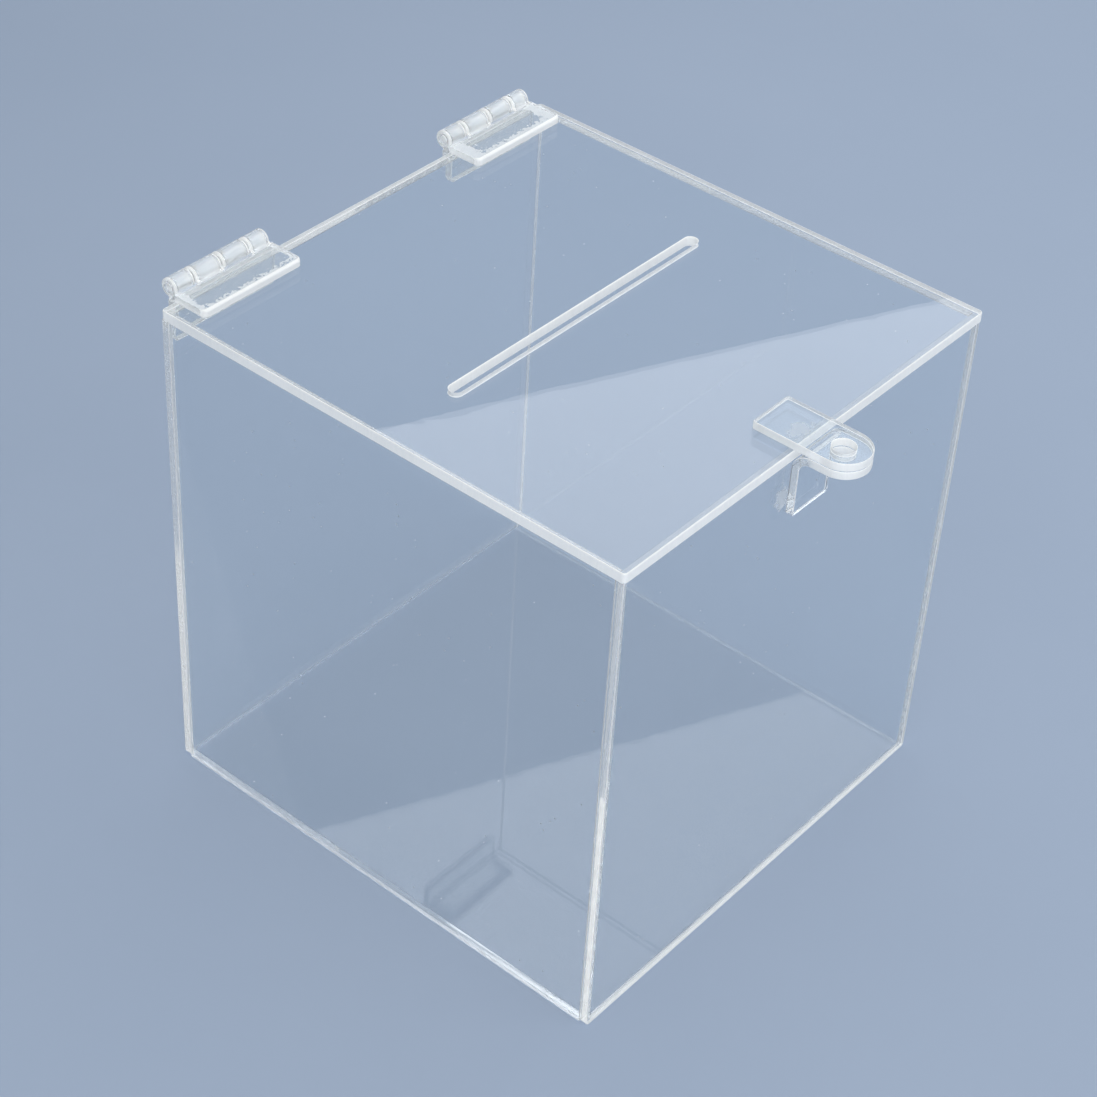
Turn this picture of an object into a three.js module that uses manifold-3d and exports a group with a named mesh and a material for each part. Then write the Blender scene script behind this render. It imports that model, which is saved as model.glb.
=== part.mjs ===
// Clear acrylic card box with a slotted lid on two moulded hinges, and a padlock hasp.
// Millimetres, +Z up. The origin is the centre of the underside, and the hasp side faces -Y.
import * as THREE from 'three';
import { mergeVertices } from 'three/addons/utils/BufferGeometryUtils.js';
import Module from 'manifold-3d';

// Box: four walls round an inset base, all from one sheet
const boxWidth = 194;
const boxDepth = 200;
const wallHeight = 200;
const sheet = 3.2;
const footRadius = 1.5;
const squareCorner = 0.4;

// Lid: of thicker sheet, proud of the walls at the front and sides, clear of the hinges at the back
const lidSheet = 4;
const lidOverhang = 0.5;
const lidBackGap = 0.3;
const lidCorner = 1.5;
const lidEase = 0.4;

// Card slot, cut by a round cutter
const slotLength = 128.4;
const slotWidth = 4.8;
const slotY = -0.8;

// Hinges: two like leaves on one pin
const hingePlaces = { left: -68.2, right: 68.8 };
const hingeLength = 46;
const leafReach = 18.5;
const leafThickness = 3;
const leafCorner = 2;
const leafEase = 1;
const barrelRadius = 3.5;
const knuckleLengths = [9.6, 12.8, 12.8, 9.6];
const knuckleGap = 0.6;
const knuckleEase = 0.6;
const knuckleRoot = 7;
const rootFillet = 1.2;
const swingGap = 0.4;
const pinRadius = 1.5;
const pinGap = 0.3;
const pinInset = 0.5;
const pinChamfer = 0.4;

// Hasp: a tab on the lid over the tongue of a bent bracket on the front wall
const haspX = -2.6;
const haspWidth = 19.4;
const haspThickness = 3;
const haspEase = 0.3;
const haspCorner = 1;
const tabBackY = -83.3;
const holeY = -112.5;
const holeRadius = 4;
const tongueGap = 0.3;
const bendInnerRadius = 4;
const bracketFoot = 178.4;

// Faceting
const arcSteps = 4;
const roundSteps = 10;
const weldDistance = 1e-4;
const cutMargin = 1;

// Finishes, as the photo shows them: clear sheet, whiter moulded hinges, clear pins
const sheetFinish = { color: 0xe6f0f4, roughness: 0.06, metalness: 0, transparent: true, opacity: 0.3 };
const hingeFinish = { color: 0xf2f6f7, roughness: 0.16, metalness: 0, transparent: true, opacity: 0.55 };
const pinFinish = { color: 0xdfe8ec, roughness: 0.12, metalness: 0, transparent: true, opacity: 0.6 };

const barrelLength = knuckleLengths.reduce((sum, length) => sum + length);

const axisX = new THREE.Vector3(1, 0, 0);
const axisY = new THREE.Vector3(0, 1, 0);
const axisZ = new THREE.Vector3(0, 0, 1);
const alongX = new THREE.Matrix4().makeBasis(axisY, axisZ, axisX);
const alongY = new THREE.Matrix4().makeBasis(axisX, axisZ, axisY.clone().negate());
const lathedAlongX = new THREE.Matrix4().makeBasis(axisY, axisX, axisZ.clone().negate());
const leafTurn = new THREE.Matrix4().makeBasis(axisX.clone().negate(), axisZ, axisY);

const wasm = await Module();
wasm.setup();

// A closed geometry as a solid that can be joined and cut
function toSolid(geometry) {
  const bare = new THREE.BufferGeometry();
  bare.setAttribute('position', geometry.getAttribute('position'));
  bare.setIndex(geometry.getIndex());
  const welded = mergeVertices(bare, weldDistance);
  const vertProperties = new Float32Array(welded.getAttribute('position').array);
  const triVerts = new Uint32Array(welded.getIndex().array);
  return new wasm.Manifold(new wasm.Mesh({ numProp: 3, vertProperties, triVerts }));
}

function toGeometry(solid) {
  const mesh = solid.getMesh();
  const geometry = new THREE.BufferGeometry();
  geometry.setAttribute('position', new THREE.BufferAttribute(mesh.vertProperties, mesh.numProp));
  geometry.setIndex(new THREE.BufferAttribute(mesh.triVerts, 1));
  geometry.computeVertexNormals();
  return geometry;
}

// Extrusions of a flat outline. An ease breaks the edges of both ends and keeps the outline's own size.
function extrude(outline, length, steps, ease) {
  return new THREE.ExtrudeGeometry(outline, {
    depth: length - 2 * ease,
    curveSegments: steps,
    bevelEnabled: ease > 0,
    bevelThickness: ease,
    bevelSize: ease,
    bevelOffset: -ease,
    bevelSegments: 1,
  }).translate(0, 0, ease);
}

function extrudeUp(outline, low, length, steps = arcSteps, ease = 0) {
  return extrude(outline, length, steps, ease).translate(0, 0, low);
}

// The outline is drawn in Y and Z
function extrudeAcross(outline, left, length, steps = arcSteps, ease = 0) {
  return extrude(outline, length, steps, ease).applyMatrix4(alongX).translate(left, 0, 0);
}

// The outline is drawn in X and Z, and its length runs from the back towards the front
function extrudeForward(outline, back, length, steps = arcSteps) {
  return extrude(outline, length, steps, 0).applyMatrix4(alongY).translate(0, back, 0);
}

function rectangle(left, low, right, high, lowRadius, highRadius) {
  const outline = new THREE.Shape();
  outline.absarc(left + lowRadius, low + lowRadius, lowRadius, Math.PI, 1.5 * Math.PI);
  outline.absarc(right - lowRadius, low + lowRadius, lowRadius, 1.5 * Math.PI, 2 * Math.PI);
  outline.absarc(right - highRadius, high - highRadius, highRadius, 0, 0.5 * Math.PI);
  outline.absarc(left + highRadius, high - highRadius, highRadius, 0.5 * Math.PI, Math.PI);
  return outline;
}

function circle(x, y, radius) {
  return new THREE.Shape().absarc(x, y, radius, 0, 2 * Math.PI);
}

function addPiece(group, name, geometry, finish) {
  const piece = new THREE.Mesh(geometry, new THREE.MeshStandardMaterial(finish));
  piece.name = name;
  group.add(piece);
}

// Front and back walls: full width, down to the table, with rounded lower corners
function broadWall(back) {
  const outline = rectangle(-boxWidth / 2, 0, boxWidth / 2, wallHeight, footRadius, squareCorner);
  return extrudeForward(outline, back, sheet);
}

// Side walls: held between the front and back walls
function sideWall(left) {
  return new THREE.BoxGeometry(sheet, boxDepth - 2 * sheet, wallHeight)
    .translate(left + sheet / 2, 0, wallHeight / 2);
}

// Base: inset between the four walls
function basePanel() {
  return new THREE.BoxGeometry(boxWidth - 2 * sheet, boxDepth - 2 * sheet, sheet).translate(0, 0, sheet / 2);
}

// Lid: one flat sheet with eased edges and the round-ended card slot
function lidPanel() {
  const side = boxWidth / 2 + lidOverhang;
  const front = -boxDepth / 2 - lidOverhang;
  const back = boxDepth / 2 - lidBackGap;
  const outline = rectangle(-side, front, side, back, lidCorner, lidCorner);
  const slotEnd = slotLength / 2;
  const slotHalf = slotWidth / 2;
  outline.holes.push(rectangle(-slotEnd, slotY - slotHalf, slotEnd, slotY + slotHalf, slotHalf, slotHalf));
  return extrudeUp(outline, wallHeight, lidSheet, arcSteps, lidEase);
}

// Hinge leaf about its own axis: a plate towards -Y that ends short of the other leaf's knuckles
function plateOutline() {
  const low = -barrelRadius;
  const high = low + leafThickness;
  const back = -barrelRadius - swingGap;
  const outline = new THREE.Shape();
  outline.moveTo(-leafReach, low);
  outline.lineTo(back, low);
  outline.lineTo(back, high);
  outline.absarc(-leafReach + leafEase, high - leafEase, leafEase, 0.5 * Math.PI, Math.PI);
  return outline;
}

// Knuckle: a round eye that runs into the plate by a fillet
function knuckleOutline() {
  const low = -barrelRadius;
  const high = low + leafThickness;
  const filletZ = high + rootFillet;
  const filletY = -Math.sqrt((barrelRadius + rootFillet) ** 2 - filletZ ** 2);
  const meet = Math.atan2(filletZ, filletY);
  const outline = new THREE.Shape();
  outline.moveTo(-knuckleRoot, low);
  outline.absarc(0, 0, barrelRadius, -0.5 * Math.PI, meet);
  outline.absarc(filletY, filletZ, rootFillet, meet - Math.PI, -0.5 * Math.PI, true);
  outline.lineTo(-knuckleRoot, high);
  return outline;
}

// The leaf's own knuckles are in every second place along the barrel
function hingeLeaf() {
  const cutDepth = 2 * (barrelRadius + cutMargin);
  let leaf = toSolid(extrudeAcross(plateOutline(), -hingeLength / 2, hingeLength));
  let left = -barrelLength / 2;
  knuckleLengths.forEach((length, place) => {
    const ownKnuckle = place % 2 === 1;
    if (ownKnuckle) {
      const width = length - knuckleGap;
      const eye = extrudeAcross(knuckleOutline(), left + knuckleGap / 2, width, roundSteps, knuckleEase);
      leaf = leaf.add(toSolid(eye));
    }
    left += length;
  });
  const bore = extrudeAcross(circle(0, 0, pinRadius + pinGap), -hingeLength / 2, hingeLength, roundSteps);
  const side = hingeLength / 2;
  const plan = rectangle(-side, -leafReach, side, barrelRadius + cutMargin, leafCorner, squareCorner);
  const trim = extrudeUp(plan, -cutDepth / 2, cutDepth);
  return toGeometry(leaf.subtract(toSolid(bore)).intersect(toSolid(trim)));
}

// Hinge pin: a plain rod with chamfered ends, just inside the barrel
function hingePin() {
  const end = barrelLength / 2 - pinInset;
  const profile = [
    new THREE.Vector2(0, -end),
    new THREE.Vector2(pinRadius - pinChamfer, -end),
    new THREE.Vector2(pinRadius, -end + pinChamfer),
    new THREE.Vector2(pinRadius, end - pinChamfer),
    new THREE.Vector2(pinRadius - pinChamfer, end),
    new THREE.Vector2(0, end),
  ];
  return new THREE.LatheGeometry(profile, roundSteps).applyMatrix4(lathedAlongX);
}

// Hasp outline from above: a strip with a fully round end about the padlock hole
function haspOutline(back) {
  const half = haspWidth / 2;
  return rectangle(haspX - half, holeY - half, haspX + half, back, half, haspCorner);
}

function haspTab() {
  const outline = haspOutline(tabBackY);
  outline.holes.push(circle(haspX, holeY, holeRadius));
  return extrudeUp(outline, wallHeight + lidSheet, haspThickness, roundSteps, haspEase);
}

// Bracket: a strip bent forward over the top of its leg, with the tongue just under the tab
function haspBracket() {
  const back = -boxDepth / 2;
  const tip = holeY - haspWidth / 2;
  const top = wallHeight + lidSheet - tongueGap;
  const outerRadius = bendInnerRadius + haspThickness;
  const bendY = back - outerRadius;
  const bendZ = top - outerRadius;
  const strip = new THREE.Shape();
  strip.moveTo(back, bracketFoot);
  strip.absarc(bendY, bendZ, outerRadius, 0, 0.5 * Math.PI);
  strip.lineTo(tip, top);
  strip.lineTo(tip, top - haspThickness);
  strip.absarc(bendY, bendZ, bendInnerRadius, 0.5 * Math.PI, 0, true);
  strip.lineTo(back - haspThickness, bracketFoot);
  const left = haspX - haspWidth / 2;
  const right = haspX + haspWidth / 2;
  const bent = toSolid(extrudeAcross(strip, left, haspWidth));
  const height = top - bracketFoot + 2 * cutMargin;
  const fromAbove = haspOutline(back + haspWidth);
  const plan = toSolid(extrudeUp(fromAbove, bracketFoot - cutMargin, height, roundSteps));
  const fromFront = rectangle(left, bracketFoot, right, top + haspWidth, haspCorner, haspCorner);
  const leg = toSolid(extrudeForward(fromFront, back + cutMargin, back - tip + 2 * cutMargin));
  const eye = circle(haspX, holeY, holeRadius);
  const hole = toSolid(extrudeUp(eye, bendZ, outerRadius + cutMargin, roundSteps));
  return toGeometry(bent.intersect(plan).intersect(leg).subtract(hole));
}

// Assembly: the box, and the lid with all that swings on it
const cardBox = new THREE.Group();
const box = new THREE.Group();
const lid = new THREE.Group();
cardBox.add(box, lid);

addPiece(box, 'bottom_panel', basePanel(), sheetFinish);
addPiece(box, 'front_panel', broadWall(-boxDepth / 2 + sheet), sheetFinish);
addPiece(box, 'back_panel', broadWall(boxDepth / 2), sheetFinish);
addPiece(box, 'left_panel', sideWall(-boxWidth / 2), sheetFinish);
addPiece(box, 'right_panel', sideWall(boxWidth / 2 - sheet), sheetFinish);
addPiece(lid, 'lid_panel', lidPanel(), sheetFinish);

// The leaves are one moulding used four times: flat on the lid, and turned over onto the back wall
const leaf = hingeLeaf();
const turnedLeaf = leaf.clone().applyMatrix4(leafTurn);
for (const [side, x] of Object.entries(hingePlaces)) {
  const axisPlace = [x, boxDepth / 2 + barrelRadius, wallHeight + lidSheet + barrelRadius];
  const onLid = new THREE.Group();
  const onWall = new THREE.Group();
  onLid.position.set(...axisPlace);
  onWall.position.set(...axisPlace);
  addPiece(onLid, `hinge_${side}_lid_leaf`, leaf, hingeFinish);
  addPiece(onWall, `hinge_${side}_wall_leaf`, turnedLeaf, hingeFinish);
  addPiece(onWall, `hinge_${side}_pin`, hingePin(), pinFinish);
  lid.add(onLid);
  box.add(onWall);
}

addPiece(lid, 'hasp_lid_tab', haspTab(), sheetFinish);
addPiece(box, 'hasp_bracket', haspBracket(), sheetFinish);

export default cardBox;
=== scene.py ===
import bmesh
import bpy
import numpy as np
from mathutils import Matrix


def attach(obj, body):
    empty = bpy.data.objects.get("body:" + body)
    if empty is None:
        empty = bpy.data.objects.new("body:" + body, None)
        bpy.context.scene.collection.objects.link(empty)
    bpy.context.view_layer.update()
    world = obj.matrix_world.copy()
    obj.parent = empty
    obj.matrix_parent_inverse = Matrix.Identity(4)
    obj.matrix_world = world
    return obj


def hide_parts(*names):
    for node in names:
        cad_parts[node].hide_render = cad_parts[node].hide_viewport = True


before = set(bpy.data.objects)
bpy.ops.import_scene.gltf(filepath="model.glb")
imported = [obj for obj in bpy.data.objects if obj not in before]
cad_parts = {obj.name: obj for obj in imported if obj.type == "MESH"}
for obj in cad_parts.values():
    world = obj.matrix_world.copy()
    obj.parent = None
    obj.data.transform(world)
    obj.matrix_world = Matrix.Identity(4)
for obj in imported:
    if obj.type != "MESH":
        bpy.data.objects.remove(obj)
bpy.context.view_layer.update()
scene = bpy.context.scene
mm = 0.001  # the shapes below are worked out in millimetres
mergeStep = 1e-4  # points that round to the same step are one
hair = 1e-6  # lengths below this count as none
mostly = 0.7  # a cut faces a way when its normal has more than this share of it
onFace, onCut, onPatch, onExtra = range(4)  # places in a piece's list of finishes
print("frame loaded:", len(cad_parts), "nodes")


# building blocks for the meshes

# quads of a rows by columns grid, closed round after the last column if it wraps
def gridQuads(rows, columns, wrap):
    r = np.arange(rows - 1)[:, None]
    c = np.arange(columns if wrap else columns - 1)[None, :]
    n = (c + 1) % columns
    quads = [r * columns + c, r * columns + n, (r + 1) * columns + n, (r + 1) * columns + c]
    return np.stack(quads, -1).reshape(-1, 4)


# the map corners of the same quads: u runs along the columns, v up the rows
def gridMap(u, v):
    u, v = np.asarray(u, float), np.asarray(v, float)
    low, high = np.meshgrid(v[:-1], u[:-1], indexing="ij"), np.meshgrid(v[1:], u[1:], indexing="ij")
    corners = [(low[1], low[0]), (high[1], low[0]), (high[1], high[0]), (low[1], high[0])]
    return np.stack([np.stack(c, -1) for c in corners], -2).reshape(-1, 4, 2)


# a patch is a grid of points with its quads, map, finish number, shading and frost
def gridPatch(points, wrap, u, v, finish=onFace, smooth=True, frost=0.0, keep=True):
    rows, columns = points.shape[:2]
    cells = (rows - 1, columns if wrap else columns - 1)
    finish, smooth, keep = (np.broadcast_to(value, cells).ravel() for value in (finish, smooth, keep))
    return {"points": points.reshape(-1, 3), "faces": gridQuads(rows, columns, wrap)[keep].tolist(),
            "uv": gridMap(u, v)[keep].reshape(-1, 2), "finish": finish[keep], "smooth": smooth[keep],
            "frost": np.broadcast_to(frost, (rows, columns)).ravel()}


# one flat face round a closed loop
def capPatch(points, uv, finish=onFace, frost=0.0):
    count = len(points)
    return {"points": points, "faces": [list(range(count))], "uv": np.asarray(uv, float),
            "finish": np.array([finish]), "smooth": np.array([False]), "frost": np.full(count, frost)}


# lengths along an open line of points, from 0
def runLengths(points):
    steps = np.linalg.norm(np.diff(points, axis=0), axis=1)
    return np.concatenate([[0.0], np.cumsum(steps)])


# angles of a quarter turn in even steps
def quarterTurn(steps):
    return np.linspace(0, np.pi / 2, steps + 1)


# patches become one closed mesh: equal points are merged, faces are turned outwards
def putPiece(name, patches, finishes, body, node):
    points = np.concatenate([p["points"] for p in patches])
    frost = np.concatenate([p["frost"] for p in patches])
    starts = np.cumsum([0] + [len(p["points"]) for p in patches])
    keys = np.round(points / mergeStep).astype(np.int64)
    _, first, same = np.unique(keys, axis=0, return_index=True, return_inverse=True)
    same = same.ravel()
    faces = [same[np.array(f) + s].tolist() for p, s in zip(patches, starts) for f in p["faces"]]
    mesh = bpy.data.meshes.new(name)
    mesh.from_pydata((points[first] * mm).tolist(), [], faces)
    finishPlace = np.concatenate([p["finish"] for p in patches]).astype(np.int32)
    mesh.polygons.foreach_set("material_index", finishPlace)
    mesh.polygons.foreach_set("use_smooth", np.concatenate([p["smooth"] for p in patches]))
    layer = mesh.uv_layers.new(name="surfaceMap")
    layer.data.foreach_set("uv", np.concatenate([p["uv"] for p in patches]).astype(np.float32).ravel())
    held = mesh.attributes.new("frost", "FLOAT", "POINT")
    held.data.foreach_set("value", frost[first].astype(np.float32))
    work = bmesh.new()
    work.from_mesh(mesh)
    bmesh.ops.recalc_face_normals(work, faces=work.faces)
    work.to_mesh(mesh)
    openEdges = sum(not e.is_manifold for e in work.edges)
    work.free()
    mesh.update()
    piece = bpy.data.objects.new(name, mesh)
    scene.collection.objects.link(piece)
    for finish in finishes:
        mesh.materials.append(finish)
    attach(piece, body)
    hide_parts(node)
    print(name, len(mesh.polygons), "faces,", openEdges, "open edges")
    return piece


# building blocks for the finishes

acrylicIor = 1.49
lampRays = ("Is Shadow Ray",)
clearRays = ("Is Diffuse Ray", "Is Shadow Ray")


# one node: a socket is linked where another node gives its value, and set where the value is fixed
def addNode(tree, kind, inputs=(), **settings):
    made = tree.nodes.new("ShaderNode" + kind)
    for key, value in settings.items():
        setattr(made, key, value)
    for key, value in dict(inputs).items():
        if isinstance(value, bpy.types.NodeSocket):
            tree.links.new(value, made.inputs[key])
        else:
            made.inputs[key].default_value = value
    return made


# a new material with nothing in its tree yet
def emptyFinish(name):
    finish = bpy.data.materials.new(name)
    finish.use_nodes = True
    finish.node_tree.nodes.clear()
    return finish, finish.node_tree


# acrylic under every finish: rays of the kinds given go straight through, with a little loss
def acrylicBody(tree, look, rays, inputs):
    shader = addNode(tree, "BsdfPrincipled", dict(inputs, IOR=acrylicIor)).outputs[0]
    path = addNode(tree, "LightPath")
    clear = addNode(tree, "BsdfTransparent", {"Color": (*[look["lampShare"]] * 3, 1)}).outputs[0]
    for ray in rays:
        shader = addNode(tree, "MixShader", {0: path.outputs[ray], 1: shader, 2: clear}).outputs[0]
    addNode(tree, "OutputMaterial", {"Surface": shader})


# a smooth step of a value between two limits, given out between two results
def ramp(tree, value, low, high, start, end):
    limits = {"Value": value, "From Min": low, "From Max": high, "To Min": start, "To Max": end}
    return addNode(tree, "MapRange", limits, interpolation_type="SMOOTHSTEP").outputs["Result"]


# a value from 0 to 1 given out evenly between two results
def line(tree, value, start, end):
    return addNode(tree, "MapRange", {"Value": value, "To Min": start, "To Max": end}).outputs["Result"]


# one operation on two values
def maths(tree, operation, a, b):
    return addNode(tree, "Math", {0: a, 1: b}, operation=operation).outputs[0]


# from one colour to the other by a share
def mixColour(tree, share, a, b):
    return addNode(tree, "Mix", {0: share, 6: a, 7: b}, data_type="RGBA").outputs[2]


# uneven values from 0 to 1; the looks below list scale, detail, roughness and distortion
def noise(tree, place, scale, detail, rough=0.5, warp=0.0):
    return addNode(tree, "TexNoise", {"Vector": place, "Scale": scale, "Detail": detail,
                                      "Roughness": rough, "Distortion": warp}).outputs[0]


polishedLook = {
    "tint": (0.985, 0.995, 1.0, 1),
    "tintDeep": (0.965, 0.985, 0.992, 1),
    "polish": 0.0,
    "smearRough": 0.035,  # wiped hand marks
    "smearNoise": (14.0, 3.0, 0.5, 1.2),
    "smearStep": (0.52, 0.78),
    "speckRough": 0.55,  # dust
    "speckScale": 230.0,
    "speckSize": (0.055, 0.088),
    "chanceNoise": (90.0, 1.0),
    "chanceStep": (0.62, 0.66),
    "ripple": 0.0015,
    "rippleDepth": 0.01,
    "lampShare": 0.94,
}


# polished faces: water clear, with wiped smears, dust and the slow ripple of cast sheet
def polishedFace(name, look):
    finish, tree = emptyFinish(name)
    place = addNode(tree, "TexCoord").outputs["Object"]
    broad = noise(tree, place, *look["smearNoise"])
    smear = ramp(tree, broad, *look["smearStep"], look["polish"], look["smearRough"])
    dust = addNode(tree, "TexVoronoi", {"Vector": place, "Scale": look["speckScale"]}).outputs["Distance"]
    speck = ramp(tree, dust, *look["speckSize"], look["speckRough"], 0.0)
    chance = ramp(tree, noise(tree, place, *look["chanceNoise"]), *look["chanceStep"], 0.0, 1.0)
    bump = addNode(tree, "Bump", {
        "Height": broad, "Strength": look["ripple"], "Distance": look["rippleDepth"]}).outputs[0]
    acrylicBody(tree, look, clearRays, {
        "Base Color": mixColour(tree, broad, look["tint"], look["tintDeep"]),
        "Roughness": maths(tree, "MAXIMUM", smear, maths(tree, "MULTIPLY", speck, chance)),
        "Normal": bump, "Transmission Weight": 1.0})
    return finish


sawnLook = {
    "white": (0.96, 0.965, 0.955, 1),
    "grey": (0.90, 0.915, 0.91, 1),
    "rough": (0.03, 0.62),  # where polished and where white
    "through": (0.97, 0.15),
    "streaks": (1.6, 0.12, 1),  # saw marks to the millimetre, along and across the cut
    "sawNoise": (1.0, 5.0, 0.65),
    "sawStep": (0.25, 0.75),
    "sawFrost": (-0.05, 0.05),
    "cloudNoise": (0.09, 3.0),
    "cloudStep": (0.3, 0.7),
    "cloudFrost": (0.92, 1.05),
    "greyStep": (0.25, 0.7),
    "sawBump": 0.12,
    "sawDepth": 0.0002,
    "lampShare": 0.8,
}


# cut edges: saw marks across the sheet; the frost attribute takes them from clear to white
def sawnEdge(name, look):
    finish, tree = emptyFinish(name)
    frost = addNode(tree, "Attribute", attribute_name="frost").outputs["Fac"]
    place = addNode(tree, "UVMap", uv_map="surfaceMap").outputs[0]
    lines = addNode(tree, "Mapping", {"Vector": place, "Scale": look["streaks"]}).outputs[0]
    saw = noise(tree, lines, *look["sawNoise"])
    cloud = ramp(tree, noise(tree, place, *look["cloudNoise"]), *look["cloudStep"], *look["cloudFrost"])
    uneven = maths(tree, "ADD", cloud, ramp(tree, saw, *look["sawStep"], *look["sawFrost"]))
    share = maths(tree, "MULTIPLY", frost, uneven)
    strength = maths(tree, "MULTIPLY", maths(tree, "POWER", frost, 2.0), look["sawBump"])
    bump = addNode(tree, "Bump", {
        "Height": saw, "Strength": strength, "Distance": look["sawDepth"]}).outputs[0]
    grain = ramp(tree, saw, *look["greyStep"], 0.0, 1.0)
    acrylicBody(tree, look, lampRays, {
        "Base Color": mixColour(tree, grain, look["grey"], look["white"]),
        "Roughness": line(tree, share, *look["rough"]), "Normal": bump,
        "Transmission Weight": line(tree, share, *look["through"])})
    return finish


# the front wall's top cut: its blue-grey colour is a painted reflection of the surroundings that a clear cut
# would show
paintedReflectionLook = dict(sawnLook, white=(0.50, 0.57, 0.67, 1), grey=(0.42, 0.49, 0.60, 1))  # painted reflection: the blue-grey of the surroundings, given as the colour of the front wall's top cut

clearFace = polishedFace("polishedSheet", polishedLook)
edgeFace = sawnEdge("sawnEdge", sawnLook)
# finish of the front wall's top cut, with the painted reflection in its colour
paintedReflectionFace = sawnEdge("paintedReflectionCut", paintedReflectionLook)
sheetFaces = [clearFace, edgeFace]
print("finishes for the sheet ready")


# flat sheet: walls, base, lid and hasp tab

# signed gap from points to a rectangle with rounded corners, its low and high corners apart
def roundBoxGap(p, box):
    q = p - box["centre"]
    radius = np.where(q[..., 1] < 0, box["lowRadius"], box["highRadius"])
    d = np.abs(q) - box["half"] + radius[..., None]
    return np.linalg.norm(np.maximum(d, 0), axis=-1) + np.minimum(d.max(-1), 0) - radius


# outward direction of that outline at points on it
def roundBoxNormal(p, box):
    q = p - box["centre"]
    radius = np.where(q[..., 1] < 0, box["lowRadius"], box["highRadius"])
    d = np.maximum(np.abs(q) - box["half"] + radius[..., None], 0)
    return np.sign(q) * d / np.linalg.norm(d, axis=-1, keepdims=True)


# points round the outline: an arc at each corner, with straight runs between
def outlineKeys(box, arcSteps, runSteps):
    half = np.asarray(box["half"], float)
    arcs = []
    for sx, sy, turn in ((1, -1, -90), (1, 1, 0), (-1, 1, 90), (-1, -1, 180)):
        radius = box["lowRadius"] if sy < 0 else box["highRadius"]
        t = np.radians(turn + np.linspace(0, 90, arcSteps + 1))
        arcs.append(np.array([sx, sy]) * (half - radius) + radius * np.stack([np.cos(t), np.sin(t)], -1))
    share = np.linspace(0, 1, runSteps + 1)[1:-1, None]
    keys = []
    for arc, following in zip(arcs, arcs[1:] + arcs[:1]):
        keys += [arc, arc[-1] + share * (following[0] - arc[-1])]
    return np.asarray(box["centre"]) + np.concatenate(keys)


halvings = 60
farOut = 4.0  # half sizes: beyond the outline from any inner point


# where rays from an inner point meet the outline, by halving the gap
def outlineOnRays(box, eye, angles):
    ways = np.stack([np.cos(angles), np.sin(angles)], -1)
    near, far = np.zeros(len(angles)), np.full(len(angles), farOut * max(box["half"]))
    for _ in range(halvings):
        middle = (near + far) / 2
        inside = roundBoxGap(eye + middle[:, None] * ways, box) < 0
        near, far = np.where(inside, middle, near), np.where(inside, far, middle)
    return eye + near[:, None] * ways


# the edge's section: a small arc, the cut face and another arc, as insets and heights
def edgeSection(low, high, arris, steps, cutSteps):
    t = quarterTurn(steps)
    inset, rise = arris * (1 - np.sin(t)), arris * (1 - np.cos(t))
    cut = np.linspace(low + arris, high - arris, cutSteps + 1)[1:-1]
    insets = np.concatenate([inset, 0 * cut, inset[::-1]])
    return insets, np.concatenate([low + rise, cut, (high - rise)[::-1]])


# which rows of that section are on the arcs, and which faces between them are flat
def sectionParts(insets):
    onArris = insets > hair
    return onArris, ~(onArris[1:] | onArris[:-1])


# sorted angles of the loops' points as seen from an inner point, each kept once
def anglesFrom(eye, *loops):
    return np.unique(np.round(np.arctan2(*(np.concatenate(loops) - eye).T[::-1]), 9))


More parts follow.
